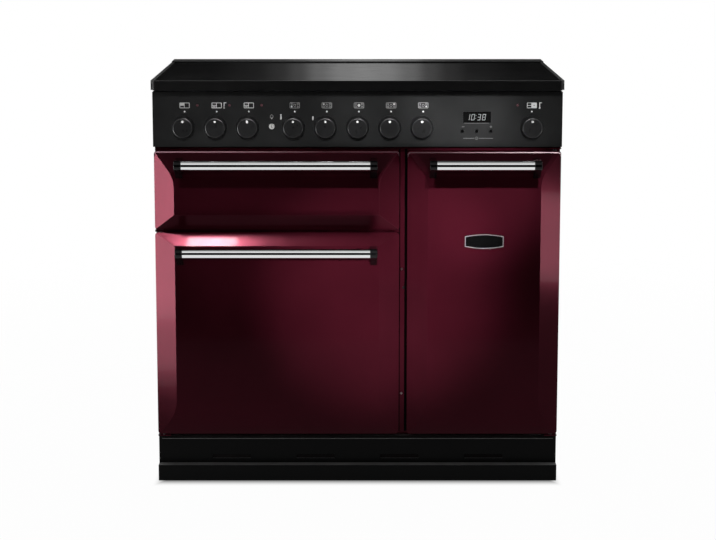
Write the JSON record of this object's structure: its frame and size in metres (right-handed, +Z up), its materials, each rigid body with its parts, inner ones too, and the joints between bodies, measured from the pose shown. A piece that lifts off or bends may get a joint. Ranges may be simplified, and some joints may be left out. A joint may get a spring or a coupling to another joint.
{
  "type": "range cooker",
  "caption": "Free-standing range cooker with a glass hob, a drop-down grill door, a wide oven, a tall oven, round control knobs and a plinth.",
  "frame": {"origin": "middle of the footprint on the floor, under the centre of the overall box", "axes": "+X to the right seen from the front, front faces -Y, +Z up"},
  "size_m": [0.9, 0.648, 0.905],
  "materials": {
    "casing_black": "satin black enamel",
    "galvanised_steel": "matt galvanised sheet",
    "cherry_enamel": "high gloss enamel",
    "charcoal_enamel": "satin charcoal enamel",
    "oven_enamel": "speckled vitreous enamel",
    "chrome": "polished chrome",
    "wire_steel": "plated wire",
    "element_steel": "heat darkened tube",
    "knob_black": "glossy rim, satin face",
    "bracket_black": "gloss black",
    "button_grey": "satin light grey",
    "button_black": "satin black",
    "hob_glass_black": "polished black glass",
    "hob_frame_black": "gloss black",
    "mineral_wool": "loose fibre",
    "gasket_rubber": "matt woven face",
    "heater_ceramic": "pressed ceramic fibre",
    "module_plastic": "satin",
    "lamp_glass": "clear cover",
    "neon_red": "translucent red lens",
    "tray_enamel": "gloss vitreous enamel",
    "roller_nylon": "matt moulded",
    "badge_chrome": "chrome rim, dark infill"
  },
  "bodies": {
    "carcass": {"side_panel_left": "casing_black", "side_panel_right": "casing_black", "rear_panel": "galvanised_steel", "front_frame": "cherry_enamel", "base_frame": "galvanised_steel", "levelling_feet": "galvanised_steel", "plinth_panel": "casing_black", "main_oven_liner": "oven_enamel", "tall_oven_liner": "oven_enamel", "grill_compartment_liner": "oven_enamel", "insulation_wraps": "mineral_wool", "shelf_racks": "wire_steel", "main_oven_shelf": "wire_steel", "tall_oven_shelves": "wire_steel", "grill_pan": "tray_enamel", "grill_trivet": "wire_steel", "heating_elements": "element_steel", "fan_covers": "oven_enamel", "fan_motors": "galvanised_steel", "oven_lamps": "lamp_glass", "door_gaskets": "gasket_rubber", "terminal_box": "module_plastic", "control_panel": "charcoal_enamel", "control_switches": "module_plastic", "clock_module": "module_plastic", "neon_lamps": "neon_red", "hob_frame": "hob_frame_black", "hob_glass": "hob_glass_black", "hob_tray": "galvanised_steel", "hob_heaters": "heater_ceramic"},
    "grill_door": {"grill_door_outer": "cherry_enamel", "grill_door_inner": "oven_enamel", "grill_handle_bar": "chrome", "grill_handle_ends": "bracket_black"},
    "main_oven_door": {"main_oven_door_outer": "cherry_enamel", "main_oven_door_inner": "oven_enamel", "main_handle_bar": "chrome", "main_handle_ends": "bracket_black"},
    "tall_oven_door": {"tall_oven_door_outer": "cherry_enamel", "tall_oven_door_inner": "oven_enamel", "tall_handle_bar": "chrome", "tall_handle_ends": "bracket_black", "badge_plate": "badge_chrome"},
    "grill_knob": {"grill_knob": "knob_black"},
    "main_oven_thermostat_knob": {"main_oven_thermostat_knob": "knob_black"},
    "main_oven_function_knob": {"main_oven_function_knob": "knob_black"},
    "hob_knob_front_left": {"hob_knob_front_left": "knob_black"},
    "hob_knob_rear_left": {"hob_knob_rear_left": "knob_black"},
    "hob_knob_centre": {"hob_knob_centre": "knob_black"},
    "hob_knob_rear_right": {"hob_knob_rear_right": "knob_black"},
    "hob_knob_front_right": {"hob_knob_front_right": "knob_black"},
    "tall_oven_thermostat_knob": {"tall_oven_thermostat_knob": "knob_black"},
    "light_button": {"light_button": "button_grey"},
    "clock_button_minus": {"clock_button_minus": "button_black"},
    "clock_button_select": {"clock_button_select": "button_black"},
    "clock_button_plus": {"clock_button_plus": "button_black"},
    "main_oven_fan": {"main_oven_fan": "element_steel"},
    "tall_oven_fan": {"tall_oven_fan": "element_steel"},
    "rear_roller_left": {"rear_roller_left": "roller_nylon"},
    "rear_roller_right": {"rear_roller_right": "roller_nylon"}
  },
  "joints": [
    {"name": "grill_door_hinge", "type": "hinge", "parent": "carcass", "child": "grill_door", "pos_m": [-0.1775, -0.254, 0.592], "axis": [1, 0, 0], "range_deg": [0, 90]},
    {"name": "main_oven_door_hinge", "type": "hinge", "parent": "carcass", "child": "main_oven_door", "pos_m": [-0.433, -0.246, 0.33725], "axis": [0, 0, -1], "range_deg": [0, 105]},
    {"name": "tall_oven_door_hinge", "type": "hinge", "parent": "carcass", "child": "tall_oven_door", "pos_m": [0.433, -0.246, 0.42775], "axis": [0, 0, 1], "range_deg": [0, 105]},
    {"name": "grill_knob_turn", "type": "hinge", "parent": "carcass", "child": "grill_knob", "pos_m": [-0.38, -0.268, 0.801], "axis": [0, 1, 0], "range_deg": [0, 270]},
    {"name": "main_oven_thermostat_knob_turn", "type": "hinge", "parent": "carcass", "child": "main_oven_thermostat_knob", "pos_m": [-0.31, -0.268, 0.801], "axis": [0, 1, 0], "range_deg": [0, 270]},
    {"name": "main_oven_function_knob_turn", "type": "hinge", "parent": "carcass", "child": "main_oven_function_knob", "pos_m": [-0.24, -0.268, 0.801], "axis": [0, 1, 0], "continuous": true},
    {"name": "hob_knob_front_left_turn", "type": "hinge", "parent": "carcass", "child": "hob_knob_front_left", "pos_m": [-0.14, -0.268, 0.801], "axis": [0, 1, 0], "range_deg": [0, 300]},
    {"name": "hob_knob_rear_left_turn", "type": "hinge", "parent": "carcass", "child": "hob_knob_rear_left", "pos_m": [-0.07, -0.268, 0.801], "axis": [0, 1, 0], "range_deg": [0, 300]},
    {"name": "hob_knob_centre_turn", "type": "hinge", "parent": "carcass", "child": "hob_knob_centre", "pos_m": [0, -0.268, 0.801], "axis": [0, 1, 0], "range_deg": [0, 300]},
    {"name": "hob_knob_rear_right_turn", "type": "hinge", "parent": "carcass", "child": "hob_knob_rear_right", "pos_m": [0.07, -0.268, 0.801], "axis": [0, 1, 0], "range_deg": [0, 300]},
    {"name": "hob_knob_front_right_turn", "type": "hinge", "parent": "carcass", "child": "hob_knob_front_right", "pos_m": [0.14, -0.268, 0.801], "axis": [0, 1, 0], "range_deg": [0, 300]},
    {"name": "tall_oven_thermostat_knob_turn", "type": "hinge", "parent": "carcass", "child": "tall_oven_thermostat_knob", "pos_m": [0.38, -0.268, 0.801], "axis": [0, 1, 0], "range_deg": [0, 270]},
    {"name": "light_button_press", "type": "slide", "parent": "carcass", "child": "light_button", "axis": [0, 1, 0], "range_m": [0, 0.0015], "stiffness_N_per_m": 800},
    {"name": "clock_button_minus_press", "type": "slide", "parent": "carcass", "child": "clock_button_minus", "axis": [0, 1, 0], "range_m": [0, 0.0015], "stiffness_N_per_m": 800},
    {"name": "clock_button_select_press", "type": "slide", "parent": "carcass", "child": "clock_button_select", "axis": [0, 1, 0], "range_m": [0, 0.0015], "stiffness_N_per_m": 800},
    {"name": "clock_button_plus_press", "type": "slide", "parent": "carcass", "child": "clock_button_plus", "axis": [0, 1, 0], "range_m": [0, 0.0015], "stiffness_N_per_m": 800},
    {"name": "main_oven_fan_spin", "type": "hinge", "parent": "carcass", "child": "main_oven_fan", "pos_m": [-0.1775, 0.197, 0.3405], "axis": [0, 1, 0], "continuous": true},
    {"name": "tall_oven_fan_spin", "type": "hinge", "parent": "carcass", "child": "tall_oven_fan", "pos_m": [0.2785, 0.197, 0.3405], "axis": [0, 1, 0], "continuous": true},
    {"name": "rear_roller_left_roll", "type": "hinge", "parent": "carcass", "child": "rear_roller_left", "pos_m": [-0.4, 0.271, 0.025], "axis": [1, 0, 0], "continuous": true},
    {"name": "rear_roller_right_roll", "type": "hinge", "parent": "carcass", "child": "rear_roller_right", "pos_m": [0.4, 0.271, 0.025], "axis": [1, 0, 0], "continuous": true}
  ]
}
